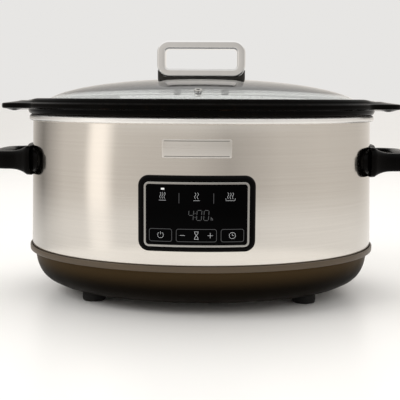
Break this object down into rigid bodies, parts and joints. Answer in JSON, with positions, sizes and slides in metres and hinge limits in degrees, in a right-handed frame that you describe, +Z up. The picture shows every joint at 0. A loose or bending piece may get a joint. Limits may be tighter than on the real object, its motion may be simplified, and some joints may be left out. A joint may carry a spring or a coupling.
{
  "type": "slow cooker",
  "caption": "Oval countertop slow cooker with a brushed steel body, front touch panel, lift-out glazed stoneware pot and domed glass lid with a loop handle.",
  "frame": {"origin": "on the table, under the middle of the base; the soles of the feet are at z 0", "axes": "+Z up, +X along the long axis towards the right-hand side handle, -Y towards the touch panel"},
  "size_m": [0.452, 0.3004, 0.2695],
  "materials": {
    "brushed_steel": "horizontally brushed, satin",
    "polished_steel": "polished",
    "aluminised_steel": "matte",
    "zinc_steel": "zinc plated",
    "chrome": "mirror polished",
    "stoneware": "gloss glaze",
    "glass": "clear, polished",
    "satin_plastic": "satin, fine grain",
    "gloss_plastic": "gloss",
    "touch_glass": "gloss, lit marks",
    "rubber": "matte",
    "silicone": "satin",
    "heater_cloth": "woven glass cloth",
    "circuit_board": "solder mask",
    "component": "satin",
    "wire": "satin"
  },
  "bodies": {
    "housing": {"band_heater": "heater_cloth", "base_plate": "satin_plastic", "base_screw_front": "zinc_steel", "base_screw_left": "zinc_steel", "base_screw_rear": "zinc_steel", "base_screw_right": "zinc_steel", "base_shell": "satin_plastic", "board_screw_1": "zinc_steel", "board_screw_2": "zinc_steel", "capacitor": "component", "control_board": "circuit_board", "cord_gland": "rubber", "display_cable": "wire", "display_module": "component", "foot_front_left": "rubber", "foot_front_right": "rubber", "foot_rear_left": "rubber", "foot_rear_right": "rubber", "handle_screw_front_left": "zinc_steel", "handle_screw_front_right": "zinc_steel", "handle_screw_rear_left": "zinc_steel", "handle_screw_rear_right": "zinc_steel", "heat_shield": "aluminised_steel", "heater_lead_left": "wire", "heater_lead_right": "wire", "heater_strap_lower": "zinc_steel", "heater_strap_upper": "zinc_steel", "heating_liner": "aluminised_steel", "name_badge": "brushed_steel", "outer_wall": "brushed_steel", "panel_bezel": "gloss_plastic", "panel_screw_lower_left": "zinc_steel", "panel_screw_lower_right": "zinc_steel", "panel_screw_upper_left": "zinc_steel", "panel_screw_upper_right": "zinc_steel", "panel_tray": "satin_plastic", "panel_trim": "polished_steel", "power_board": "circuit_board", "relay": "component", "side_handle_left": "satin_plastic", "side_handle_right": "satin_plastic", "temperature_sensor": "zinc_steel", "terminal_block": "component", "thermal_fuse": "component", "tie_nut": "zinc_steel", "tie_rod": "zinc_steel", "tie_washer": "zinc_steel", "top_rim": "polished_steel", "touch_glass": "touch_glass", "transformer": "component"},
    "pot": {"stoneware_pot": "stoneware"},
    "lid": {"handle_seal": "silicone", "lid_glass": "glass", "lid_handle": "chrome", "lid_screw_left": "zinc_steel", "lid_screw_right": "zinc_steel", "lid_seal": "silicone", "vent_eyelet": "polished_steel"}
  },
  "joints": [
    {"name": "pot_lift", "type": "slide", "parent": "housing", "child": "pot", "axis": [0, 0, 1], "range_m": [0, 0.16]},
    {"name": "lid_lift", "type": "slide", "parent": "pot", "child": "lid", "axis": [0, 0, 1], "range_m": [0, 0.12]}
  ]
}
